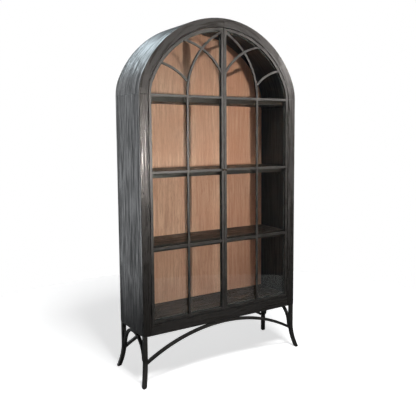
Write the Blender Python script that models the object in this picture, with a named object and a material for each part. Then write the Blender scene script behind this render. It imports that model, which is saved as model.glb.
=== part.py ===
"""Arched curio cabinet: a wooden case with two glazed iron doors, on an iron base with sabre legs.

X runs along the width, Y from the front (-Y) to the back, Z up from the floor. All sizes are in metres.
The case is symmetrical about X = 0, so most pieces are drawn on the +X side and mirrored to the other.
"""

import math

import bmesh
import bpy
from mathutils import Vector

GAP = 0.0003  # between pieces that touch

# Case, outside
WIDTH = 1.120
DEPTH = 0.351
CASE_Z = 0.300  # underside of the case
SPRING_Z = 1.706  # the sides end here and the arch starts
RISE = 0.470  # from the springline to the top
HAUNCH_R = 0.287  # the three-centred arch: small radius at each side ...
HALF = WIDTH / 2
HAUNCH_X = HALF - HAUNCH_R
CROWN_R = (HALF**2 + RISE**2 - 2 * HALF * HAUNCH_R) / (2 * (RISE - HAUNCH_R))  # ... and one large one
CROWN_Z = SPRING_Z + RISE - CROWN_R
JOINT_ANGLE = math.atan2(SPRING_Z - CROWN_Z, HAUNCH_X)
FRONT_Y = -DEPTH / 2
BACK_Y = DEPTH / 2

# Walls
FRAME_W = 0.055  # width of the face frame, which is also the whole wall
FRAME_T = 0.022
SKIN_T = 0.018
LINER_T = 0.010
RAIL_TOP = 0.362
BOARD_TOP = 0.383
BOARD_T = 0.022
BACK_PANEL_Y = FRONT_Y + 0.308
BACK_PANEL_T = 0.014
REAR_FRAME_W = 0.070

# Shelves, by their upper faces
SHELF_TOPS = {"upper": 1.706, "middle": 1.263, "lower": 0.825}
SHELF_T = 0.040
SHELF_FRONT = FRONT_Y + 0.042
CLEAT_H = 0.018
CLEAT_T = 0.012

# Doors
DOOR_FRONT = FRONT_Y + 0.002
DOOR_D = 0.018
DOOR_W = 0.017  # face width of the iron frame
DOOR_INSET = 0.0582  # of the door's edge from the outside of the case
DOOR_BOTTOM = 0.365
MEETING = 0.0015  # of each meeting stile from the middle
BAR_D = 0.0105
MUNTIN_X = 0.252
MUNTIN_W = 0.013
TRANSOM_W = 0.014
TRANSOM_Z = (1.701, 1.257, 0.8104)
GLASS_Y = DOOR_FRONT + 0.0116
GLASS_T = 0.004
STOP_W = 0.006

# Tracery of a door, as (centre X, centre Z, radius) of the middle of each bar
TRACERY_R = 0.435
LANCET_ARC = (MUNTIN_X - TRACERY_R, SPRING_Z, TRACERY_R)  # from the muntin to the top of the arch
CROSS_ARC = (0.326, SPRING_Z - 0.038, 0.362)  # from the meeting stile across to the arch
SIDE_ARC = (0.487, 1.5736, 0.319)  # from the muntin out to the arch

# Hinges
AXIS_X = HALF - 0.0566  # in the middle of the gap beside the door
AXIS_Y = FRONT_Y - 0.0042
HINGE_Z = {"top": 1.590, "middle": 1.010, "bottom": 0.450}
HINGE_H = 0.076
KNUCKLE_R = 0.0038
PIN_R = 0.0017
LEAF_T = 0.0011
LEAF_BACK = 0.0222  # far edge of a leaf, behind the axis
LEAF_CLEAR = 0.0045  # edge beside the other leaf's knuckles
LEAF_TIP = 0.0028  # edge that runs into its own knuckles

# Knobs
KNOB_X = 0.0100
KNOB_Z = 1.257

# Base
BASE_INSET = 0.0015
LEG = 0.024
SPLAY_X = 0.0245  # of each foot, outwards
SPLAY_Y = 0.035
SABRE_Z = 0.155  # the legs curve below this
GLIDE_H = 0.004
FLAT_T = 0.0037
STRETCHER = 0.018
FRONT_ARCH_END = 0.137
SIDE_ARCH_END = 0.150


# --- tools -----------------------------------------------------------------


def clear_scene():
    for thing in list(bpy.data.objects):
        bpy.data.objects.remove(thing, do_unlink=True)


def material(name, colour, roughness, metallic=0.0):
    made = bpy.data.materials.get(name)
    if made is None:
        made = bpy.data.materials.new(name)
        made.use_nodes = True
        shader = made.node_tree.nodes["Principled BSDF"]
        shader.inputs["Base Color"].default_value = (*colour, 1.0)
        shader.inputs["Roughness"].default_value = roughness
        shader.inputs["Metallic"].default_value = metallic
    return made


def black_oak():
    return material("black_oak", (0.040, 0.037, 0.035), 0.55)


def warm_oak():
    return material("warm_oak", (0.47, 0.29, 0.20), 0.55)


def walnut_stain():
    return material("walnut_stain", (0.075, 0.043, 0.030), 0.50)


def black_iron():
    return material("black_iron", (0.035, 0.034, 0.033), 0.42, 0.9)


def blackened_brass():
    return material("blackened_brass", (0.025, 0.022, 0.020), 0.38, 0.9)


def clear_glass():
    glass = material("clear_glass", (0.90, 0.95, 0.94), 0.03)
    glass.node_tree.nodes["Principled BSDF"].inputs["Transmission Weight"].default_value = 1.0
    return glass


def black_nylon():
    return material("black_nylon", (0.015, 0.015, 0.015), 0.6)


def add_object(name, mesh_data, finish, parent=None):
    """The object of a bmesh in world coordinates, hung on its parent's pivot if it has one."""
    bmesh.ops.recalc_face_normals(mesh_data, faces=mesh_data.faces)
    pivot = Vector(parent.location) if parent else Vector()
    bmesh.ops.translate(mesh_data, verts=mesh_data.verts, vec=-pivot)
    mesh = bpy.data.meshes.new(name)
    mesh_data.to_mesh(mesh)
    mesh_data.free()
    mesh.shade_smooth()
    mesh.set_sharp_from_angle(angle=math.radians(30))
    mesh.materials.append(finish)
    made = bpy.data.objects.new(name, mesh)
    bpy.context.collection.objects.link(made)
    made.parent = parent
    return made


def united(pieces):
    """One bmesh from several overlapping ones."""
    helpers = []
    for number, piece in enumerate(pieces):
        bmesh.ops.recalc_face_normals(piece, faces=piece.faces)
        mesh = bpy.data.meshes.new(f"joined_{number}")
        piece.to_mesh(mesh)
        piece.free()
        helper = bpy.data.objects.new(f"joined_{number}", mesh)
        bpy.context.collection.objects.link(helper)
        helpers.append(helper)
    for helper in helpers[1:]:
        join = helpers[0].modifiers.new(helper.name, "BOOLEAN")
        join.operation = "UNION"
        join.object = helper
    whole = bmesh.new()
    whole.from_object(helpers[0], bpy.context.evaluated_depsgraph_get())
    for helper in helpers:
        bpy.data.objects.remove(helper, do_unlink=True)
    bmesh.ops.dissolve_limit(whole, angle_limit=math.radians(0.1), verts=whole.verts, edges=whole.edges)
    return whole


def box(low, high):
    """A block between two corners."""
    made = bmesh.new()
    bmesh.ops.create_cube(made, size=1.0)
    low, high = Vector(low), Vector(high)
    bmesh.ops.scale(made, verts=made.verts, vec=high - low)
    bmesh.ops.translate(made, verts=made.verts, vec=(low + high) / 2)
    return made


def slab(outline, y0, y1):
    """An outline of (x, z) points, from y0 to y1."""
    made = bmesh.new()
    face = made.faces.new([made.verts.new((x, y0, z)) for x, z in outline])
    grown = bmesh.ops.extrude_face_region(made, geom=[face])
    moved = [part for part in grown["geom"] if isinstance(part, bmesh.types.BMVert)]
    bmesh.ops.translate(made, verts=moved, vec=(0, y1 - y0, 0))
    return made


def band(outer, inner, y0, y1, closed=False):
    """The strip between two rows of (x, z) points, from y0 to y1."""
    made = bmesh.new()
    rows = [
        [made.verts.new(corner) for corner in ((a, y0, b), (c, y0, d), (c, y1, d), (a, y1, b))]
        for (a, b), (c, d) in zip(outer, inner)
    ]
    for number in range(len(rows) if closed else len(rows) - 1):
        this, following = rows[number], rows[(number + 1) % len(rows)]
        for k in range(4):
            made.faces.new((this[k], this[(k + 1) % 4], following[(k + 1) % 4], following[k]))
    if not closed:
        made.faces.new(rows[0])
        made.faces.new(rows[-1])
    return made


def turned(profile, sides=24):
    """A solid of revolution about Z, from (radius, z) points that start and end on the axis."""
    made = bmesh.new()
    rings = []
    for radius, z in profile:
        count = sides if radius > 0 else 1
        angles = [2 * math.pi * k / sides for k in range(count)]
        rings.append([made.verts.new((radius * math.cos(a), radius * math.sin(a), z)) for a in angles])
    for low, high in zip(rings, rings[1:]):
        for k in range(sides):
            corners = [low[k % len(low)], low[(k + 1) % len(low)]]
            corners += [high[(k + 1) % len(high)], high[k % len(high)]]
            made.faces.new(list(dict.fromkeys(corners)))
    return made


def tube(outer_r, inner_r, z0, z1, sides=20):
    """An open-ended ring about Z."""
    made = bmesh.new()
    corners = ((outer_r, z0), (outer_r, z1), (inner_r, z1), (inner_r, z0))
    loops = []
    for radius, z in corners:
        angles = [2 * math.pi * k / sides for k in range(sides)]
        loops.append([made.verts.new((radius * math.cos(a), radius * math.sin(a), z)) for a in angles])
    for number in range(4):
        this, following = loops[number], loops[(number + 1) % 4]
        for k in range(sides):
            made.faces.new((this[k], this[(k + 1) % sides], following[(k + 1) % sides], following[k]))
    return made


def moved(piece, offset):
    bmesh.ops.translate(piece, verts=piece.verts, vec=offset)
    return piece


def on_side(piece, side):
    """The piece as drawn at +X for side +1, or its mirror image for side -1."""
    bmesh.ops.scale(piece, verts=piece.verts, vec=(side, 1, 1))
    return piece


SIDES = (("left", -1), ("right", 1))


# --- outlines of the arch ----------------------------------------------------


def arc_points(centre_x, centre_z, radius, start, stop, steps):
    angles = [start + (stop - start) * k / steps for k in range(steps + 1)]
    return [(centre_x + radius * math.cos(a), centre_z + radius * math.sin(a)) for a in angles]


def half_arch(inset, stop_x=0.0):
    """Points of the arch, this far inside the outline, from the +X springline up to stop_x."""
    stop = math.acos(stop_x / (CROWN_R - inset))
    haunch = arc_points(HAUNCH_X, SPRING_Z, HAUNCH_R - inset, 0.0, JOINT_ANGLE, 5)
    return haunch + arc_points(0.0, CROWN_Z, CROWN_R - inset, JOINT_ANGLE, stop, 16)[1:]


def full_arch(inset):
    right = half_arch(inset)
    return right + [(-x, z) for x, z in reversed(right[:-1])]


def arch_depth(x, z):
    """How far a point at +X lies inside the outline of the case."""
    if z <= SPRING_Z:
        return HALF - x
    if math.atan2(z - CROWN_Z, x) >= JOINT_ANGLE:
        return CROWN_R - math.hypot(x, z - CROWN_Z)
    return HAUNCH_R - math.hypot(x - HAUNCH_X, z - SPRING_Z)


# --- case ----------------------------------------------------------------------


def build_face_frame():
    """Front frame: a stile each side, the arched head in two halves, and a bottom rail."""
    y0, y1 = FRONT_Y, FRONT_Y + FRAME_T
    for name, side in SIDES:
        stile = box((HALF - FRAME_W, y0, CASE_Z), (HALF, y1, SPRING_Z - GAP / 2))
        add_object(f"stile_{name}", on_side(stile, side), black_oak())
        head = band(half_arch(0.0, GAP / 2), half_arch(FRAME_W, GAP / 2), y0, y1)
        head = moved(head, (0, 0, GAP / 2))
        add_object(f"head_{name}", on_side(head, side), black_oak())
    reach = HALF - FRAME_W - GAP
    add_object("bottom_rail", box((-reach, y0, CASE_Z), (reach, y1, RAIL_TOP)), black_oak())


def build_shell():
    """Outer skin and inner liner, with the hollow of the wall between them, and the bottom board."""
    y0, y1 = FRONT_Y + FRAME_T + GAP, BACK_PANEL_Y + BACK_PANEL_T
    for name, side in SIDES:
        panel = box((HALF - SKIN_T, y0, CASE_Z), (HALF, y1, SPRING_Z - GAP / 2))
        add_object(f"side_panel_{name}", on_side(panel, side), black_oak())
        inner = HALF - FRAME_W
        liner = box((inner, y0, CASE_Z), (inner + LINER_T, y1, SPRING_Z - GAP / 2))
        add_object(f"side_liner_{name}", on_side(liner, side), black_oak())
    skin = moved(band(full_arch(0.0), full_arch(SKIN_T), y0, y1), (0, 0, GAP / 2))
    add_object("crown_skin", skin, black_oak())
    liner = moved(band(full_arch(FRAME_W - LINER_T), full_arch(FRAME_W), y0, y1), (0, 0, GAP / 2))
    add_object("crown_liner", liner, black_oak())
    reach = HALF - FRAME_W - GAP
    board = box((-reach, y0, BOARD_TOP - BOARD_T), (reach, BACK_PANEL_Y - GAP, BOARD_TOP))
    add_object("bottom_board", board, walnut_stain())


def build_back():
    """Arched back panel, held against one glued-up rear frame."""
    edge = HALF - FRAME_W - GAP
    arch = full_arch(FRAME_W + GAP)
    outline = [(-edge, CASE_Z), (edge, CASE_Z)] + arch
    add_object("back_panel", slab(outline, BACK_PANEL_Y, BACK_PANEL_Y + BACK_PANEL_T), warm_oak())
    outer = [(-HALF, CASE_Z), (HALF, CASE_Z)] + full_arch(0.0)
    inner_x = HALF - REAR_FRAME_W
    inner = [(-inner_x, RAIL_TOP), (inner_x, RAIL_TOP)] + full_arch(REAR_FRAME_W)
    rear = band(outer, inner, BACK_PANEL_Y + BACK_PANEL_T + GAP, BACK_Y, closed=True)
    add_object("rear_frame", rear, black_oak())


def build_shelves():
    """Three fixed shelves, each on a cleat at both ends."""
    reach = HALF - FRAME_W - 2 * GAP
    for level, top in SHELF_TOPS.items():
        shelf = box((-reach, SHELF_FRONT, top - SHELF_T), (reach, BACK_PANEL_Y - GAP, top))
        add_object(f"shelf_{level}", shelf, walnut_stain())
        under = top - SHELF_T - GAP
        for name, side in SIDES:
            low = (HALF - FRAME_W - GAP - CLEAT_T, SHELF_FRONT + 0.018, under - CLEAT_H)
            high = (HALF - FRAME_W - GAP, BACK_PANEL_Y - 0.013, under)
            add_object(f"shelf_cleat_{level}_{name}", on_side(box(low, high), side), black_oak())


def build_catch():
    """Double magnetic catch under the top of the arch, which pulls on both iron doors."""
    top = SPRING_Z + RISE - FRAME_W - 0.0015
    block = box((-0.028, DOOR_FRONT + DOOR_D + 0.0008, top - 0.016), (0.028, FRONT_Y + 0.044, top))
    add_object("magnetic_catch", block, black_nylon())


# --- doors -----------------------------------------------------------------------


def door_outline(inset):
    """The door's outline at +X, this far inside its outer edge, with its first point at the lower corner."""
    near, low = MEETING + inset, DOOR_BOTTOM + inset
    arch = half_arch(DOOR_INSET + inset, near)
    return [(near, low), (HALF - DOOR_INSET - inset, low)] + arch


def arc_bar(arc, start, stop, front, width=MUNTIN_W, steps=14):
    centre_x, centre_z, radius = arc
    outer = arc_points(centre_x, centre_z, radius + width / 2, start, stop, steps)
    inner = arc_points(centre_x, centre_z, radius - width / 2, start, stop, steps)
    return band(outer, inner, front, DOOR_FRONT + BAR_D + (front - DOOR_FRONT) / 2)


def angle_at_x(arc, x):
    return math.acos((x - arc[0]) / arc[2])


def angle_at_arch(arc, inside, outside):
    """The angle, between one inside the door and one outside it, where the arc meets the arched rail."""
    centre_x, centre_z, radius = arc
    for _ in range(40):
        middle = (inside + outside) / 2
        x, z = centre_x + radius * math.cos(middle), centre_z + radius * math.sin(middle)
        if arch_depth(x, z) > DOOR_INSET + DOOR_W / 2:
            inside = middle
        else:
            outside = middle
    return inside


def door_frame():
    """One welded frame: a square-tube ring, with the muntin, three transoms and the tracery of flat bar."""
    bars = [band(door_outline(0.0), door_outline(DOOR_W), DOOR_FRONT, DOOR_FRONT + DOOR_D, closed=True)]
    stile = MEETING + DOOR_W / 2
    far = HALF - DOOR_INSET - DOOR_W / 2
    depth = DOOR_FRONT + BAR_D
    muntin = ((MUNTIN_X - MUNTIN_W / 2, DOOR_FRONT + 0.0005, DOOR_BOTTOM + DOOR_W / 2),
              (MUNTIN_X + MUNTIN_W / 2, depth, SPRING_Z))
    bars.append(box(*muntin))
    for z in TRANSOM_Z:
        low = (stile, DOOR_FRONT + 0.0009, z - TRANSOM_W / 2)
        bars.append(box(low, (far, depth - 0.0003, z + TRANSOM_W / 2)))
    top = angle_at_x(LANCET_ARC, stile)
    bars.append(arc_bar(LANCET_ARC, -0.008, top, DOOR_FRONT + 0.0007))
    start = angle_at_x(CROSS_ARC, stile)
    bars.append(arc_bar(CROSS_ARC, start, angle_at_arch(CROSS_ARC, start, 0.9), DOOR_FRONT + 0.0011))
    start = angle_at_x(SIDE_ARC, MUNTIN_X)
    bars.append(arc_bar(SIDE_ARC, start, angle_at_arch(SIDE_ARC, start, 0.9), DOOR_FRONT + 0.0013))
    return united(bars)


def knob():
    """Turned knob with its foot at Y = 0, standing out towards -Y."""
    profile = [(0, 0), (0.0048, 0), (0.0048, 0.0012), (0.0030, 0.0022), (0.0028, 0.0075), (0.0048, 0.0095)]
    profile += [(0.0065, 0.0120), (0.0068, 0.0145), (0.0056, 0.0168), (0.0030, 0.0180), (0, 0.0183)]
    made = turned(profile)
    for vert in made.verts:
        vert.co = (vert.co.x, -vert.co.z, vert.co.y)
    return made


def build_doors():
    pivots = {}
    for name, side in SIDES:
        pivot = bpy.data.objects.new(f"door_{name}_axis", None)
        pivot.location = (side * AXIS_X, AXIS_Y, HINGE_Z["middle"])
        bpy.context.collection.objects.link(pivot)
        pivots[name] = pivot
        add_object(f"door_frame_{name}", on_side(door_frame(), side), black_iron(), pivot)
        glass = slab(door_outline(DOOR_W + GAP), GLASS_Y, GLASS_Y + GLASS_T)
        add_object(f"door_glass_{name}", on_side(glass, side), clear_glass(), pivot)
        bead = band(door_outline(DOOR_W + GAP), door_outline(DOOR_W + GAP + STOP_W),
                    GLASS_Y + GLASS_T + GAP, DOOR_FRONT + DOOR_D, closed=True)
        add_object(f"glass_stop_{name}", on_side(bead, side), black_iron(), pivot)
        handle = moved(knob(), (KNOB_X, DOOR_FRONT - GAP, KNOB_Z))
        add_object(f"knob_{name}", on_side(handle, side), blackened_brass(), pivot)
    return pivots


# --- hinges ----------------------------------------------------------------------


def leaf(outline, x0, x1):
    """Plate of a hinge leaf, an outline of (y, z) points about the axis, from x0 to x1."""
    made = bmesh.new()
    face = made.faces.new([made.verts.new((x0, y, z)) for y, z in outline])
    grown = bmesh.ops.extrude_face_region(made, geom=[face])
    verts = [part for part in grown["geom"] if isinstance(part, bmesh.types.BMVert)]
    bmesh.ops.translate(made, verts=verts, vec=(x1 - x0, 0, 0))
    return made


def frame_leaf():
    """Leaf that is screwed to the stile, with the outer knuckles and the fixed pin."""
    half, knuckle = HINGE_H / 2, HINGE_H / 6 + 0.0003
    tip = [(0, half + 0.0045), (0.0018, half + 0.0040), (0.0026, half + 0.0025), (0.0018, half + 0.0008)]
    tip += [(0.0018, half), (KNUCKLE_R, half - 0.0002), (KNUCKLE_R, knuckle), (PIN_R, knuckle)]
    profile = [(r, -z) for r, z in tip] + [(r, z) for r, z in reversed(tip)]
    end, inner = half - 0.0003, knuckle + 0.0002
    outline = [(LEAF_BACK, -half), (LEAF_BACK, half), (LEAF_CLEAR, half), (LEAF_CLEAR, end), (LEAF_TIP, end)]
    outline += [(LEAF_TIP, inner), (LEAF_CLEAR, inner), (LEAF_CLEAR, -inner), (LEAF_TIP, -inner)]
    outline += [(LEAF_TIP, -end), (LEAF_CLEAR, -end), (LEAF_CLEAR, -half)]
    return united([turned(profile, 20), leaf(outline, 0.0002, 0.0002 + LEAF_T)])


def door_leaf():
    """Leaf that is screwed to the door's edge, with the middle knuckle."""
    half, knuckle = HINGE_H / 2, HINGE_H / 6 - 0.0003
    inner = knuckle - 0.0002
    outline = [(LEAF_BACK, -half), (LEAF_BACK, half), (LEAF_CLEAR, half), (LEAF_CLEAR, inner)]
    outline += [(LEAF_TIP, inner), (LEAF_TIP, -inner), (LEAF_CLEAR, -inner), (LEAF_CLEAR, -half)]
    barrel = tube(KNUCKLE_R, PIN_R + 0.0004, -knuckle, knuckle)
    return united([barrel, leaf(outline, -0.0002 - LEAF_T, -0.0002)])


def build_hinges(pivots):
    for level, z in HINGE_Z.items():
        for name, side in SIDES:
            at = (AXIS_X, AXIS_Y, z)
            fixed = on_side(moved(frame_leaf(), at), side)
            add_object(f"hinge_{name}_{level}_frame_leaf", fixed, black_iron())
            swinging = on_side(moved(door_leaf(), at), side)
            add_object(f"hinge_{name}_{level}_door_leaf", swinging, black_iron(), pivots[name])


# --- base ------------------------------------------------------------------------


def sabre_leg(side_x, side_y):
    """Square bar, upright under the case and curving outwards to its foot."""
    x = HALF - BASE_INSET - LEG / 2
    y = DEPTH / 2 - BASE_INSET - LEG / 2
    top, bottom, steps = CASE_Z - FLAT_T - 2 * GAP, GLIDE_H + GAP, 12
    heights = [top] + [SABRE_Z + (bottom - SABRE_Z) * k / steps for k in range(steps + 1)]
    made = bmesh.new()
    rings = []
    half = LEG / 2
    corners = ((-half, -half), (half, -half), (half, half), (-half, half))
    for z in heights:
        share = max(0.0, (SABRE_Z - z) / SABRE_Z) ** 1.8
        middle_x, middle_y = x + SPLAY_X * share, y + SPLAY_Y * share
        rings.append([made.verts.new((middle_x + a, middle_y + b, z)) for a, b in corners])
    for low, high in zip(rings, rings[1:]):
        for k in range(4):
            made.faces.new((low[k], low[(k + 1) % 4], high[(k + 1) % 4], high[k]))
    made.faces.new(rings[0])
    made.faces.new(rings[-1])
    bmesh.ops.scale(made, verts=made.verts, vec=(side_x, side_y, 1))
    return made


def foot_glide(side_x, side_y):
    x = (HALF - BASE_INSET - LEG / 2 + SPLAY_X) * side_x
    y = (DEPTH / 2 - BASE_INSET - LEG / 2 + SPLAY_Y) * side_y
    profile = [(0, 0), (0.0085, 0), (0.0105, 0.0015), (0.0110, GLIDE_H), (0, GLIDE_H)]
    return moved(turned(profile), (x, y, 0))


def long_stretcher(side_y):
    """Shallow circular arch between two legs, its top against the flat bar under the case."""
    half_span = HALF - BASE_INSET - LEG - GAP
    top = CASE_Z - FLAT_T - 2 * GAP
    rise = top - STRETCHER / 2 - FRONT_ARCH_END
    radius = (half_span**2 + rise**2) / (2 * rise)
    centre_z = top - STRETCHER / 2 - radius
    rows = []
    for offset in (STRETCHER / 2, -STRETCHER / 2):
        r = radius + offset
        stop = math.acos(half_span / r)
        rows.append(arc_points(0.0, centre_z, r, stop, math.pi - stop, 40))
    y = DEPTH / 2 - BASE_INSET - (LEG - STRETCHER) / 2
    made = band(rows[0], rows[1], y - STRETCHER, y)
    bmesh.ops.scale(made, verts=made.verts, vec=(1, side_y, 1))
    return made


def side_stretcher(side_x):
    """Steep half-ellipse between a front and a rear leg, its ends scarfed against them."""
    outer_a = DEPTH / 2 - BASE_INSET - LEG - GAP
    outer_b = CASE_Z - FLAT_T - 2 * GAP - SIDE_ARCH_END
    outer, inner = [], []
    for k in range(33):
        a = math.pi * k / 32
        c, s = math.cos(a), math.sin(a)
        outer.append((outer_a * c, SIDE_ARCH_END + outer_b * s))
        inner.append(((outer_a - STRETCHER) * c, SIDE_ARCH_END + (outer_b - STRETCHER) * s))
    tail = 0.012
    outer = [(outer_a, SIDE_ARCH_END - tail)] + outer + [(-outer_a, SIDE_ARCH_END - tail)]
    inner = [(outer_a - 0.004, SIDE_ARCH_END - tail)] + inner + [(0.004 - outer_a, SIDE_ARCH_END - tail)]
    x = HALF - BASE_INSET - (LEG - STRETCHER) / 2
    made = band(outer, inner, x - STRETCHER, x)
    for vert in made.verts:
        vert.co = (side_x * vert.co.y, vert.co.x, vert.co.z)
    return made


def build_base():
    """Iron base: a flat-bar frame under the case, four sabre legs, and an arched stretcher on each side."""
    x, y = HALF - BASE_INSET, DEPTH / 2 - BASE_INSET
    outer = [(-x, -y), (x, -y), (x, y), (-x, y)]
    inner = [(-x + LEG, -y + LEG), (x - LEG, -y + LEG), (x - LEG, y - LEG), (-x + LEG, y - LEG)]
    flat = band(outer, inner, CASE_Z - FLAT_T - GAP, CASE_Z - GAP, closed=True)
    for vert in flat.verts:
        vert.co = (vert.co.x, vert.co.z, vert.co.y)
    add_object("base_flat_frame", flat, black_iron())
    for end, side_y in (("front", -1), ("rear", 1)):
        for name, side_x in SIDES:
            add_object(f"leg_{end}_{name}", sabre_leg(side_x, side_y), black_iron())
            add_object(f"glide_{end}_{name}", foot_glide(side_x, side_y), black_nylon())
        add_object(f"stretcher_{end}", long_stretcher(side_y), black_iron())
    for name, side_x in SIDES:
        add_object(f"stretcher_{name}", side_stretcher(side_x), black_iron())


clear_scene()
build_face_frame()
build_shell()
build_back()
build_shelves()
build_catch()
build_hinges(build_doors())
build_base()
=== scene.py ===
"""Arched curio cabinet of brushed black oak, with glazed iron doors, on an iron base with sabre legs.

The sections follow the order in which the cabinet is put together: iron base, case, shelves, back, doors,
hinges and knobs, then the floor, the lights and the camera. Everything is in metres, in the cabinet's frame.
"""

import math

import bmesh
import bpy
from mathutils import Matrix, Vector


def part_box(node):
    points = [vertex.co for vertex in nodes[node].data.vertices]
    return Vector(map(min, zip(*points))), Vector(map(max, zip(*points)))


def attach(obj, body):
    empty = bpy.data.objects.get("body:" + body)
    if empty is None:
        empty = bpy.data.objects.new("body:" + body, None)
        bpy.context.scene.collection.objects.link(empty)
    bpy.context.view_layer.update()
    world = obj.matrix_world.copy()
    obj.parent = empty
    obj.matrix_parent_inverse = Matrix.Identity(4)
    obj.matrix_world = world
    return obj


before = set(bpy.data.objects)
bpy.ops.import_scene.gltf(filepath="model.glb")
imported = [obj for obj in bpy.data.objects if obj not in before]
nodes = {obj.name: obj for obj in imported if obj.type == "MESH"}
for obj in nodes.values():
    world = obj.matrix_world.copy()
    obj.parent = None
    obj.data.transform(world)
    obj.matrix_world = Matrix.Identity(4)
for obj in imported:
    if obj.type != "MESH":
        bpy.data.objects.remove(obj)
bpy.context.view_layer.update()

# --- Iron base ------------------------------------------------------------------------------------------
# Square iron bar, bent hot into sabre legs and arched stretchers, welded under a frame of flat bar, then
# powder coated satin black. The coat leaves soft highlights, a fine orange peel and no bare metal.
MM = 0.001


def srgb(code):
    """A hex colour as the linear values that shaders take."""
    parts = [int(code[k:k + 2], 16) / 255 for k in (1, 3, 5)]
    return (*(c / 12.92 if c <= 0.04045 else ((c + 0.055) / 1.055) ** 2.4 for c in parts), 1.0)


def add(tree, kind, links=(), **settings):
    """A node with its settings, and with each named input linked to a socket or set to a value."""
    node = tree.nodes.new("ShaderNode" + kind)
    for name, value in settings.items():
        setattr(node, name, value)
    for name, value in dict(links).items():
        if isinstance(value, bpy.types.NodeSocket):
            tree.links.new(value, node.inputs[name])
        else:
            node.inputs[name].default_value = value
    return node


def blank(name):
    """A material with an output node only, and its node tree."""
    made = bpy.data.materials.new(name)
    made.use_nodes = True
    made.node_tree.nodes.clear()
    return made, made.node_tree


# A Mix node of colours takes its factor and colours at these inputs, and gives the colour at this output.
FACTOR, FIRST, SECOND, MIXED = 0, 6, 7, 2


def satin_iron_paint(name, dark, worn, gloss, peel_mm, rubbed):
    """Black paint on iron: faintly mottled, with orange peel, and rubbed a little lighter at the edges."""
    made, tree = blank(name)
    place = add(tree, "TexCoord").outputs["Object"]
    cloud = add(tree, "TexNoise", {"Vector": place, "Scale": 1 / (45 * MM), "Detail": 3.0})
    peel = add(tree, "TexNoise", {"Vector": place, "Scale": 1 / (peel_mm * MM), "Detail": 2.0})
    # An edge shows where the face's own normal and one rounded over 1.2 mm part company.
    rounded = add(tree, "Bevel", {"Radius": 1.2 * MM}, samples=4)
    sharp = add(tree, "NewGeometry")
    meet = add(tree, "VectorMath", {0: rounded.outputs[0], 1: sharp.outputs["Normal"]},
               operation="DOT_PRODUCT")
    edge = add(tree, "MapRange", {"Value": meet.outputs["Value"], "From Min": 0.995, "From Max": 0.90})
    patchy = add(tree, "Math", {0: edge.outputs[0], 1: cloud.outputs[0]}, operation="MULTIPLY")
    share = add(tree, "Math", {0: patchy.outputs[0], 1: rubbed}, operation="MULTIPLY")
    mottled = add(tree, "MapRange", {"Value": cloud.outputs[0], "From Min": 0.35, "From Max": 0.65,
                                     "To Min": 0.0, "To Max": 0.25})
    tone = add(tree, "Mix", {FACTOR: mottled.outputs[0], FIRST: srgb(dark), SECOND: srgb(worn)},
               data_type="RGBA")
    shade = add(tree, "Mix", {FACTOR: share.outputs[0], FIRST: tone.outputs[MIXED], SECOND: srgb(worn)},
                data_type="RGBA")
    rough = add(tree, "MapRange", {"Value": cloud.outputs[0], "From Min": 0.3, "From Max": 0.7,
                                   "To Min": gloss - 0.05, "To Max": gloss + 0.07})
    bump = add(tree, "Bump", {"Height": peel.outputs[0], "Strength": 0.35, "Distance": 0.05 * MM,
                              "Normal": rounded.outputs[0]})
    shader = add(tree, "BsdfPrincipled", {"Base Color": shade.outputs[MIXED], "Roughness": rough.outputs[0],
                                          "Normal": bump.outputs[0], "Specular IOR Level": 0.3})
    add(tree, "OutputMaterial", {"Surface": shader.outputs[0]})
    return made


# A modifier that shades every face smooth: the frame's own meshes stay as they are.
smoother = bpy.data.node_groups.new("shade_smooth", "GeometryNodeTree")
smoother.interface.new_socket("Geometry", in_out="INPUT", socket_type="NodeSocketGeometry")
smoother.interface.new_socket("Geometry", in_out="OUTPUT", socket_type="NodeSocketGeometry")
shading_kinds = ("NodeGroupInput", "GeometryNodeSetShadeSmooth", "NodeGroupOutput")
shading_nodes = [smoother.nodes.new(kind) for kind in shading_kinds]
for first, second in zip(shading_nodes, shading_nodes[1:]):
    smoother.links.new(first.outputs[0], second.inputs[0])


def dress(node_name, finish, edge_mm, segments=2):
    """A carried node with softened edges, smooth shading and its finish."""
    piece = nodes[node_name]
    weld = piece.modifiers.new("weld", "WELD")
    weld.merge_threshold = 0.00001
    piece.modifiers.new("smooth", "NODES").node_group = smoother
    if edge_mm:
        soften = piece.modifiers.new("edges", "BEVEL")
        soften.width = edge_mm * MM
        soften.segments = segments
        soften.limit_method = "ANGLE"
        soften.angle_limit = math.radians(30)
        soften.use_clamp_overlap = True
    shading = piece.modifiers.new("shading", "WEIGHTED_NORMAL")
    shading.keep_sharp = True
    shading.weight = 100
    for slot in piece.material_slots:
        slot.material = finish
    return piece


SIDES = (("left", -1), ("right", 1))
ENDS = ("front", "rear")
base_iron = satin_iron_paint("powder_coated_square_iron", "#1f1e1d", "#3a3835", 0.42, 2.5, 0.4)
dress("base_flat_frame", base_iron, 0.5)
for end in ENDS:
    for side, _ in SIDES:
        dress(f"leg_{end}_{side}", base_iron, 1.6, 3)
    dress(f"stretcher_{end}", base_iron, 1.3, 3)
for side, _ in SIDES:
    dress(f"stretcher_{side}", base_iron, 1.3, 3)

# --- Weld beads and bolts of the base -------------------------------------------------------------------
# Each stretcher is welded to its legs with a small fillet, dressed smooth before coating. Hexagon-head
# bolts through the flat bars hold the base to the case. Both are coated with the rest.
BOLT_FLATS = 8 * MM


def new_piece(name, shape, finish, body, smooth=True):
    """A mesh object of a bmesh, with its finish, riding on a body."""
    mesh = bpy.data.meshes.new(name)
    bmesh.ops.recalc_face_normals(shape, faces=shape.faces)
    shape.to_mesh(mesh)
    shape.free()
    if smooth:
        mesh.shade_smooth()
        mesh.set_sharp_from_angle(angle=math.radians(35))
    mesh.materials.append(finish)
    made = bpy.data.objects.new(name, mesh)
    bpy.context.scene.collection.objects.link(made)
    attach(made, body)
    return made


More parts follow.
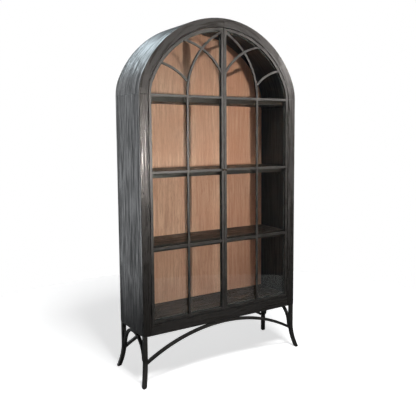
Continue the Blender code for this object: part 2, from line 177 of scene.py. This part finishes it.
def turned_into(shape, profile, place, sides=20):
    """Adds a solid of revolution to a bmesh, from (radius, height) points, set by a matrix."""
    rings = []
    for radius, height in profile:
        turns = [2 * math.pi * k / sides for k in range(sides if radius > 0 else 1)]
        points = [(radius * math.cos(turn), radius * math.sin(turn), height) for turn in turns]
        rings.append([shape.verts.new(place @ Vector(point)) for point in points])
    for low, high in zip(rings, rings[1:]):
        for k in range(sides):
            corners = [low[k % len(low)], low[(k + 1) % len(low)]]
            corners += [high[(k + 1) % len(high)], high[k % len(high)]]
            shape.faces.new(list(dict.fromkeys(corners)))


# Each bead lies in the corner under a stretcher's end, and tapers off at both of its own ends.
WELD = 2.4 * MM
bead_profile = [(0, -8 * MM), (WELD * 0.7, -7 * MM), (WELD, -4 * MM), (WELD * 0.92, 0), (WELD, 4 * MM),
                (WELD * 0.7, 7 * MM), (0, 8 * MM)]
beads = bmesh.new()
for end in ENDS:
    low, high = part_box(f"stretcher_{end}")
    for x in (low.x + 0.8 * MM, high.x - 0.8 * MM):
        spot = Matrix.Translation((x, (low.y + high.y) / 2, low.z))
        turned_into(beads, bead_profile, spot @ Matrix.Rotation(math.pi / 2, 4, "X"), sides=12)
for side, _ in SIDES:
    low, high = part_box(f"stretcher_{side}")
    for y in (low.y + 0.8 * MM, high.y - 0.8 * MM):
        spot = Matrix.Translation(((low.x + high.x) / 2, y, low.z))
        turned_into(beads, bead_profile, spot @ Matrix.Rotation(math.pi / 2, 4, "Y"), sides=12)
new_piece("weld_beads", beads, base_iron, "cabinet")

flat_low, flat_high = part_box("base_flat_frame")
bolt_head = [(0, 0), (BOLT_FLATS * 0.50, 0), (BOLT_FLATS * 0.56, 0.6 * MM), (BOLT_FLATS * 0.56, 3.6 * MM),
             (BOLT_FLATS * 0.46, 4.2 * MM), (0, 4.2 * MM)]
washer = [(0, -0.2 * MM), (8 * MM, -0.2 * MM), (8.2 * MM, 0.2 * MM), (8 * MM, 0.9 * MM), (0, 0.9 * MM)]
bolts = bmesh.new()
# Each bolt stands off the stretcher, at the inner edge of the flat bar.
inset = 18 * MM
for x in (-0.40, -0.14, 0.14, 0.40):
    for y in (flat_low.y + inset, flat_high.y - inset):
        down = Matrix.Translation((x, y, flat_low.z)) @ Matrix.Rotation(math.pi, 4, "X")
        turned_into(bolts, washer, down)
        turned_into(bolts, bolt_head, down @ Matrix.Translation((0, 0, 0.9 * MM)), sides=6)
new_piece("base_bolts", bolts, base_iron, "cabinet", smooth=False)

# --- Glides -----------------------------------------------------------------------------------------------
# A moulded nylon glide is pushed into the end of each leg. Nylon off the tool is matt, with a faint grain.
nylon, tree = blank("moulded_black_nylon")
grain = add(tree, "TexNoise", {"Vector": add(tree, "TexCoord").outputs["Object"], "Scale": 1 / (0.8 * MM)})
bump = add(tree, "Bump", {"Height": grain.outputs[0], "Strength": 0.3, "Distance": 0.03 * MM})
shader = add(tree, "BsdfPrincipled", {"Base Color": srgb("#161616"), "Roughness": 0.6,
                                      "Normal": bump.outputs[0]})
add(tree, "OutputMaterial", {"Surface": shader.outputs[0]})
for end in ENDS:
    for side, _ in SIDES:
        dress(f"glide_{end}_{side}", nylon, 0)

# --- Case -------------------------------------------------------------------------------------------------
# Oak boards and bent veneer, wire-brushed to raise the hard grain, stained black and lacquered satin.
# Light catches the ridges and sinks in the pores, so a lit face is streaked and others are nearly black.
ARCH_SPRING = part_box("crown_skin")[0].z
ARCH_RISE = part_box("crown_skin")[1].z - ARCH_SPRING
# The grain of bent pieces follows a circle about this height, close to the centre of the arch.
ARCH_CENTRE = ARCH_SPRING - 0.05
ARCH_RADIUS = 0.52


def grain_space(tree, way, offset):
    """A place on the wood in metres: along the grain, then the two ways across it."""
    place = add(tree, "TexCoord").outputs["Object"]
    parts = add(tree, "SeparateXYZ", {0: place})
    if way == "up":
        order = (parts.outputs["Z"], parts.outputs["X"], parts.outputs["Y"])
    elif way == "across":
        order = (parts.outputs["X"], parts.outputs["Z"], parts.outputs["Y"])
    else:
        height = add(tree, "Math", {0: parts.outputs["Z"], 1: ARCH_CENTRE}, operation="SUBTRACT")
        angle = add(tree, "Math", {0: parts.outputs["X"], 1: height.outputs[0]}, operation="ARCTAN2")
        along = add(tree, "Math", {0: angle.outputs[0], 1: ARCH_RADIUS}, operation="MULTIPLY")
        flat = add(tree, "CombineXYZ", {0: parts.outputs["X"], 1: height.outputs[0]})
        out = add(tree, "VectorMath", {0: flat.outputs[0]}, operation="LENGTH")
        order = (along.outputs[0], out.outputs["Value"], parts.outputs["Y"])
    joined = add(tree, "CombineXYZ", dict(enumerate(order)))
    return add(tree, "VectorMath", {0: joined.outputs[0], 1: (offset, offset * 0.37, offset * 0.71)},
               operation="ADD").outputs[0]


def across_grain(tree, way):
    """The direction on the surface that crosses the grain, in which brushed wood scatters its shine."""
    if way == "up":
        grain = (0.0, 0.0, 1.0)
    elif way == "across":
        grain = (1.0, 0.0, 0.0)
    else:
        parts = add(tree, "SeparateXYZ", {0: add(tree, "TexCoord").outputs["Object"]})
        height = add(tree, "Math", {0: parts.outputs["Z"], 1: ARCH_CENTRE}, operation="SUBTRACT")
        left = add(tree, "Math", {0: parts.outputs["X"], 1: -1.0}, operation="MULTIPLY")
        grain = add(tree, "CombineXYZ", {"X": height.outputs[0], "Z": left.outputs[0]}).outputs[0]
    face = add(tree, "NewGeometry").outputs["Normal"]
    return add(tree, "VectorMath", {0: face, 1: grain}, operation="CROSS_PRODUCT").outputs[0]


def oak(name, way, offset, tones, gloss, depth_mm, figure=1.0, brushed=0.2, shine=0.3):
    """Oak from its dark pores to its light ridges: growth bands about 12 mm apart, pores 2 mm by 40 mm.

    Real pores are a quarter of a millimetre wide: these are drawn coarser, so that they show.
    """
    made, tree = blank(name)
    place = grain_space(tree, way, offset)
    # Long slow waves bend the bands, which otherwise run dead straight.
    sway = add(tree, "TexNoise", {"Vector": place, "Scale": 2.2, "Detail": 2.0})
    swing = add(tree, "VectorMath", {0: sway.outputs["Color"], 1: (0.0, 0.035 * figure, 0.035 * figure)},
                operation="MULTIPLY")
    bent = add(tree, "VectorMath", {0: place, 1: swing.outputs[0]}, operation="ADD").outputs[0]
    stretched = add(tree, "VectorMath", {0: bent, 1: (1 / 0.22, 1 / (12 * MM), 1 / (12 * MM))},
                    operation="MULTIPLY")
    bands = add(tree, "TexNoise", {"Vector": stretched.outputs[0], "Scale": 1.0, "Detail": 4.0,
                                   "Roughness": 0.62})
    fine = add(tree, "VectorMath", {0: bent, 1: (1 / 0.040, 1 / (2 * MM), 1 / (2 * MM))},
               operation="MULTIPLY")
    pores = add(tree, "TexNoise", {"Vector": fine.outputs[0], "Scale": 1.0, "Detail": 2.0})
    patch = add(tree, "TexNoise", {"Vector": place, "Scale": 5.0, "Detail": 1.0})
    ridge = add(tree, "MapRange", {"Value": bands.outputs[0], "From Min": 0.40, "From Max": 0.60})
    open_pore = add(tree, "MapRange", {"Value": pores.outputs[0], "From Min": 0.56, "From Max": 0.68})
    tone = add(tree, "Mix", {FACTOR: ridge.outputs[0], FIRST: srgb(tones[0]), SECOND: srgb(tones[1])},
               data_type="RGBA")
    warm = add(tree, "MapRange", {"Value": patch.outputs[0], "From Min": 0.35, "From Max": 0.65,
                                  "To Min": 0.0, "To Max": 0.6})
    drift = add(tree, "Mix", {FACTOR: warm.outputs[0], FIRST: tone.outputs[MIXED], SECOND: srgb(tones[2])},
                data_type="RGBA")
    darken = add(tree, "Math", {0: open_pore.outputs[0], 1: 0.65}, operation="MULTIPLY")
    shade = add(tree, "Mix", {FACTOR: darken.outputs[0], FIRST: drift.outputs[MIXED], SECOND: srgb(tones[3])},
                data_type="RGBA")
    rough = add(tree, "MapRange", {"Value": ridge.outputs[0], "To Min": gloss + 0.26,
                                   "To Max": gloss - 0.06})
    sunk = add(tree, "Math", {0: ridge.outputs[0], 1: open_pore.outputs[0]}, operation="SUBTRACT")
    bump = add(tree, "Bump", {"Height": sunk.outputs[0], "Strength": 0.8, "Distance": depth_mm * MM})
    shader = add(tree, "BsdfPrincipled", {"Base Color": shade.outputs[MIXED], "Roughness": rough.outputs[0],
                                          "Normal": bump.outputs[0], "Anisotropic": brushed,
                                          "Specular IOR Level": shine,
                                          "Tangent": across_grain(tree, way)})
    add(tree, "OutputMaterial", {"Surface": shader.outputs[0]})
    return made


BLACK_OAK = ("#131211", "#252321", "#1c1a19", "#0a0909")
for side, way in SIDES:
    dress(f"side_panel_{side}", oak(f"black_oak_side_{side}", "up", 3.1 * way, BLACK_OAK, 0.36, 0.35), 1.2)
    dress(f"stile_{side}", oak(f"black_oak_stile_{side}", "up", 1.7 + way, BLACK_OAK, 0.23, 0.3), 1.5)
    dress(f"head_{side}", oak(f"black_oak_head_{side}", "bent", 5.3 * way, BLACK_OAK, 0.25, 0.2), 1.5)
dress("bottom_rail", oak("black_oak_rail", "across", 7.9, BLACK_OAK, 0.30, 0.45), 1.5)
dress("crown_skin", oak("black_oak_crown", "bent", 2.3, BLACK_OAK, 0.34, 0.35), 1.2)
dress("rear_frame", oak("black_oak_rear", "up", 6.1, BLACK_OAK, 0.42, 0.3), 1.2)
LINER_OAK = ("#111212", "#1a1b1b", "#161717", "#0a0a0a")
for side, way in SIDES:
    dress(f"side_liner_{side}", oak(f"black_liner_{side}", "up", 4.4 + way, LINER_OAK, 0.42, 0.15), 0.4)
    cleat_oak = oak(f"black_cleat_{side}", "up", way, LINER_OAK, 0.5, 0.2)
    for level in ("upper", "middle", "lower"):
        dress(f"shelf_cleat_{level}_{side}", cleat_oak, 0.6)
dress("crown_liner", oak("black_liner_crown", "bent", 3.7, LINER_OAK, 0.42, 0.15), 0.4)

# --- Shelves and bottom board -----------------------------------------------------------------------------
# Boards with thick lipped fronts, stained dark walnut brown and lacquered, with the grain along the front.
SHELF_OAK = ("#130e0b", "#211711", "#1a120e", "#0b0806")
for number, name in enumerate(("bottom_board", "shelf_lower", "shelf_middle", "shelf_upper")):
    board_oak = oak(f"stained_{name}", "across", 11.0 + 2.3 * number, SHELF_OAK, 0.32, 0.1, shine=0.12)
    dress(name, board_oak, 1.6, 3)

# --- Back panel -------------------------------------------------------------------------------------------
# Veneered board in clear matt lacquer. The leaves stand upright, each with its own warmth, and show a
# pinkish tan with soft streaks and hardly any shine.
VENEER_LEAF = 126 * MM
VENEER = ("#b98a73", "#d8a78c", "#c68f74", "#91664f")
back_oak = oak("clear_lacquered_oak_veneer", "up", 8.2, VENEER, 0.52, 0.06, 0.6)
tree = back_oak.node_tree
shader = tree.nodes["Principled BSDF"]
streaks = shader.inputs["Base Color"].links[0].from_socket
across = add(tree, "SeparateXYZ", {0: add(tree, "TexCoord").outputs["Object"]}).outputs["X"]
shifted = add(tree, "Math", {0: across, 1: 0.031}, operation="ADD")
leaves = add(tree, "Math", {0: shifted.outputs[0], 1: VENEER_LEAF}, operation="DIVIDE")
number = add(tree, "Math", {0: leaves.outputs[0]}, operation="FLOOR")
own = add(tree, "TexWhiteNoise", {"W": number.outputs[0]}, noise_dimensions="1D")
lean = add(tree, "MapRange", {"Value": own.outputs["Value"], "To Min": 0.0, "To Max": 0.55})
leafy = add(tree, "Mix", {FACTOR: lean.outputs[0], FIRST: streaks, SECOND: srgb("#a8674c")},
            data_type="RGBA")
tree.links.new(leafy.outputs[MIXED], shader.inputs["Base Color"])
dress("back_panel", back_oak, 0)

# --- Magnetic catch ---------------------------------------------------------------------------------------
# A moulded plastic block under the top of the arch, held by two screws, with a pair of magnets in its face
# that pull on the iron of both doors. It is black and matt, and the magnets are plated steel.
plated, tree = blank("nickel_plated_steel")
shader = add(tree, "BsdfPrincipled", {"Base Color": srgb("#b4b2ad"), "Metallic": 1.0})
cloud = add(tree, "TexNoise", {"Vector": add(tree, "TexCoord").outputs["Object"], "Scale": 1 / (6 * MM)})
rough = add(tree, "MapRange", {"Value": cloud.outputs[0], "To Min": 0.25, "To Max": 0.45})
tree.links.new(rough.outputs[0], shader.inputs["Roughness"])
add(tree, "OutputMaterial", {"Surface": shader.outputs[0]})
dress("magnetic_catch", nylon, 0.8, 3)
catch_low, catch_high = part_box("magnetic_catch")
magnets = bmesh.new()
magnet = [(0, 0), (4.6 * MM, 0), (4.8 * MM, 0.2 * MM), (4.8 * MM, 0.45 * MM), (0, 0.45 * MM)]
for x in (-14 * MM, 14 * MM):
    spot = Matrix.Translation((x, catch_low.y, (catch_low.z + catch_high.z) / 2))
    turned_into(magnets, magnet, spot @ Matrix.Rotation(math.pi / 2, 4, "X"))
new_piece("catch_magnets", magnets, plated, "cabinet")

# --- Doors ------------------------------------------------------------------------------------------------
# Square tube and flat bar, welded and ground flush, sprayed black and rubbed back so that the edges show
# grey. The bars stand proud of the glass, which is clear float glass, bedded against a steel bead.
door_iron = satin_iron_paint("rubbed_black_iron", "#181716", "#4a4845", 0.36, 3.0, 0.8)
bead_steel = satin_iron_paint("painted_steel_bead", "#1e1e1e", "#3a3937", 0.45, 3.0, 0.3)

float_glass, tree = blank("clear_float_glass")
ripple = add(tree, "TexNoise", {"Vector": add(tree, "TexCoord").outputs["Object"], "Scale": 1 / 0.35})
# Rolled glass is never quite flat: its slow waves move reflections a little.
wave = add(tree, "Bump", {"Height": ripple.outputs[0], "Strength": 0.25, "Distance": 0.4 * MM})
pane = add(tree, "BsdfPrincipled", {"Base Color": srgb("#f4faf8"), "Roughness": 0.0, "IOR": 1.45,
                                    "Transmission Weight": 1.0, "Normal": wave.outputs[0]})
clear = add(tree, "BsdfTransparent", {"Color": srgb("#f6fbfa")})
lamp_ray = add(tree, "LightPath").outputs["Is Shadow Ray"]
seen = add(tree, "MixShader", {0: lamp_ray, 1: pane.outputs[0], 2: clear.outputs[0]})
add(tree, "OutputMaterial", {"Surface": seen.outputs[0]})
for side, _ in SIDES:
    dress(f"door_frame_{side}", door_iron, 0.9)
    dress(f"door_glass_{side}", float_glass, 0)
    dress(f"glass_stop_{side}", bead_steel, 0.3)

# --- Bead screws ------------------------------------------------------------------------------------------
# The glazing bead is held by small pan-head screws into the door's tube, seen only from inside.
stop_low, stop_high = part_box("glass_stop_right")
BEAD = 6 * MM
END_MARGIN = 90 * MM
pan_head = [(0, 0), (1.9 * MM, 0), (2.0 * MM, 0.4 * MM), (1.5 * MM, 1.0 * MM), (0.5 * MM, 1.2 * MM),
            (0, 1.2 * MM)]
for side, way in SIDES:
    screws = bmesh.new()
    edge, middle = stop_high.x - BEAD / 2, stop_low.x + BEAD / 2
    step = (ARCH_SPRING - stop_low.z - 2 * END_MARGIN) / 4
    places = [(x, stop_low.z + END_MARGIN + k * step) for k in range(5) for x in (edge, middle)]
    third = (stop_high.x - stop_low.x) / 3
    places += [(stop_low.x + (k + 0.5) * third, stop_low.z + BEAD / 2) for k in range(3)]
    for x, z in places:
        back = Matrix.Translation((way * x, stop_high.y, z)) @ Matrix.Rotation(-math.pi / 2, 4, "X")
        turned_into(screws, pan_head, back, sides=12)
    new_piece(f"bead_screws_{side}", screws, bead_steel, f"door_{side}")

# --- Knobs ------------------------------------------------------------------------------------------------
# Small turned brass knobs, chemically blackened, one on each meeting stile, each held by a screw from
# inside. Handling has polished the crown a little; the finish here only varies the gloss in patches, not from
# crown to foot.
black_brass, tree = blank("blackened_brass")
place = add(tree, "TexCoord").outputs["Object"]
cloud = add(tree, "TexNoise", {"Vector": place, "Scale": 1 / (5 * MM), "Detail": 3.0})
shade = add(tree, "Mix", {FACTOR: cloud.outputs[0], FIRST: srgb("#1c1916"), SECOND: srgb("#3a2f22")},
            data_type="RGBA")
rough = add(tree, "MapRange", {"Value": cloud.outputs[0], "To Min": 0.22, "To Max": 0.42})
shader = add(tree, "BsdfPrincipled", {"Base Color": shade.outputs[MIXED], "Metallic": 1.0,
                                      "Roughness": rough.outputs[0]})
add(tree, "OutputMaterial", {"Surface": shader.outputs[0]})
for side, _ in SIDES:
    dress(f"knob_{side}", black_brass, 0)
    low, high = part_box(f"knob_{side}")
    frame_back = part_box(f"door_frame_{side}")[1].y
    screw = bmesh.new()
    back = Matrix.Translation(((low.x + high.x) / 2, frame_back, (low.z + high.z) / 2))
    # The knob's screw has the same head as the bead's, but larger.
    large_head = [(radius * 1.7, height * 1.3) for radius, height in pan_head]
    turned_into(screw, large_head, back @ Matrix.Rotation(-math.pi / 2, 4, "X"))
    new_piece(f"knob_screw_{side}", screw, bead_steel, f"door_{side}")

# --- Hinges -----------------------------------------------------------------------------------------------
# Butt hinges of blackened steel: plate leaves with rolled knuckles about a ball-tipped pin. Only the
# barrels show while the doors are shut. Each leaf is held by three flush countersunk screws.
hinge_steel = satin_iron_paint("blackened_hinge_steel", "#232220", "#4a4845", 0.34, 1.2, 0.6)
SCREW_PITCH = 24 * MM
KNUCKLES = 7.6 * MM  # across the barrel, which the screws keep clear of
COUNTERSUNK = [(0, -0.2 * MM), (2.7 * MM, -0.2 * MM), (2.9 * MM, 0.0), (2.7 * MM, 0.12 * MM),
               (0.6 * MM, 0.12 * MM), (0, 0.02 * MM)]
for side, way in SIDES:
    for level in ("top", "middle", "bottom"):
        for kind, body, facing in (("frame", "cabinet", -way), ("door", f"door_{side}", way)):
            name = f"hinge_{side}_{level}_{kind}_leaf"
            dress(name, hinge_steel, 0.15)
            low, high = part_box(name)
            barrel = (low.x + high.x) / 2
            plate = barrel + way * (0.25 if kind == "frame" else -0.25) * MM
            screws = bmesh.new()
            middle_y, middle_z = (low.y + KNUCKLES + high.y) / 2, (low.z + high.z) / 2
            for step in (-1, 0, 1):
                spot = Matrix.Translation((plate, middle_y, middle_z + step * SCREW_PITCH))
                outward = spot @ Matrix.Rotation(facing * math.pi / 2, 4, "Y")
                turned_into(screws, COUNTERSUNK, outward, sides=14)
            new_piece(f"{name}_screws", screws, hinge_steel, body)

# --- Floor ------------------------------------------------------------------------------------------------
# A round of white acrylic, lit from below as product tables are, so that shadows on it stay pale.
# It is matt, and a little uneven in tone.
FLOOR_RADIUS = 2.4
acrylic, tree = blank("white_backlit_acrylic")
cloud = add(tree, "TexNoise", {"Vector": add(tree, "TexCoord").outputs["Object"], "Scale": 0.8})
shade = add(tree, "Mix", {FACTOR: cloud.outputs[0], FIRST: srgb("#f0f0f0"), SECOND: srgb("#f4f4f4")},
            data_type="RGBA")


def straight_sight(tree):
    """One for what is seen directly or through glass, and nothing for light that has met another surface."""
    rays = add(tree, "LightPath")
    direct = add(tree, "Math", {0: rays.outputs["Is Camera Ray"], 1: rays.outputs["Is Transmission Ray"]},
                 operation="MAXIMUM")
    bounces = add(tree, "Math", {0: rays.outputs["Diffuse Depth"], 1: rays.outputs["Glossy Depth"]})
    clean = add(tree, "Math", {0: bounces.outputs[0], 1: 0.5}, operation="LESS_THAN")
    return add(tree, "Math", {0: direct.outputs[0], 1: clean.outputs[0]}, operation="MULTIPLY").outputs[0]


glow = add(tree, "Math", {0: straight_sight(tree), 1: 0.67}, operation="MULTIPLY")
shader = add(tree, "BsdfPrincipled", {"Base Color": shade.outputs[MIXED], "Roughness": 0.9,
                                      "Emission Color": (1.0, 1.0, 1.0, 1.0),
                                      "Emission Strength": glow.outputs[0]})
add(tree, "OutputMaterial", {"Surface": shader.outputs[0]})
# The glow is for the eye only, so the floor isn't sampled as a lamp.
acrylic.cycles.emission_sampling = "NONE"
sheet = bmesh.new()
bmesh.ops.create_circle(sheet, cap_ends=True, segments=96, radius=FLOOR_RADIUS)
mesh = bpy.data.meshes.new("floor")
sheet.to_mesh(mesh)
sheet.free()
mesh.materials.append(acrylic)
floor = bpy.data.objects.new("floor", mesh)
bpy.context.scene.collection.objects.link(floor)
floor.visible_glossy = False

# --- Lights -----------------------------------------------------------------------------------------------
# A softbox above and in front gives the floor its shadow. A small lamp far off to the front right lights the
# doors and draws their tracery on the back panel. The other three show only as shine: one on the arch's
# right shoulder, and two large cards behind, which the left side and the crown mirror.


def softbox(name, place, aim, width, height, watts, colour, spread=180):
    """A rectangular area light at a place, turned to a point, with a grid that narrows it to a spread."""
    light = bpy.data.lights.new(name, "AREA")
    light.shape = "RECTANGLE"
    light.size, light.size_y = width, height
    light.energy = watts
    light.color = srgb(colour)[:3]
    light.spread = math.radians(spread)
    made = bpy.data.objects.new(name, light)
    made.location = place
    made.rotation_euler = (Vector(aim) - Vector(place)).to_track_quat("-Z", "Y").to_euler()
    made.visible_camera = False
    bpy.context.scene.collection.objects.link(made)
    return made


softbox("above_front", (-0.3, -2.3, 5.0), (0.0, 0.0, 0.3), 1.2, 1.2, 215, "#ffffff")
softbox("far_front_right", (2.18, -7.0, 1.05), (0.0, 0.0, 2.05), 0.2, 0.2, 19.5, "#fff6ee", 34)
mirrored = [
    softbox("right_shoulder", (2.95, -2.0, 2.45), (0.45, -0.18, 1.9), 0.6, 0.6, 11, "#fff8f4", 60),
    softbox("rear_left_card", (-2.3, 4.2, 1.8), (-0.5, 0.0, 1.5), 3.0, 5.2, 118, "#f4f7fa"),
    softbox("rear_top", (-0.6, 4.6, 4.6), (-0.3, 0.0, 2.0), 2.6, 1.6, 110, "#dcecf4"),
]
for card in mirrored:
    card.visible_diffuse = False

world = bpy.data.worlds.new("studio")
bpy.context.scene.world = world
world.use_nodes = True
tree = world.node_tree
tree.nodes.clear()
around = add(tree, "Background", {"Color": (0.05, 0.053, 0.057, 1.0), "Strength": 1.0})
white = add(tree, "Background", {"Color": (1.0, 1.0, 1.0, 1.0), "Strength": 1.0})
both = add(tree, "MixShader", {0: straight_sight(tree), 1: around.outputs[0], 2: white.outputs[0]})
add(tree, "OutputWorld", {"Surface": both.outputs[0]})
# The room is one even tone, which needs no sampling as a lamp either.
world.cycles.sampling_method = "NONE"
bpy.context.scene.view_settings.view_transform = "Standard"

# --- Camera -----------------------------------------------------------------------------------------------
# At eye level, off the left front corner, looking slightly down.
camera = bpy.data.objects.new("camera", bpy.data.cameras.new("camera"))
camera.location = (-1.838, -3.104, 1.492)
camera.rotation_euler = (math.radians(90 - 5.68), 0.0, math.radians(-34.62))
camera.data.sensor_width = 36.0
camera.data.lens = 48.15
camera.data.shift_x = -0.0980
camera.data.shift_y = -0.0502
bpy.context.scene.collection.objects.link(camera)
bpy.context.scene.camera = camera
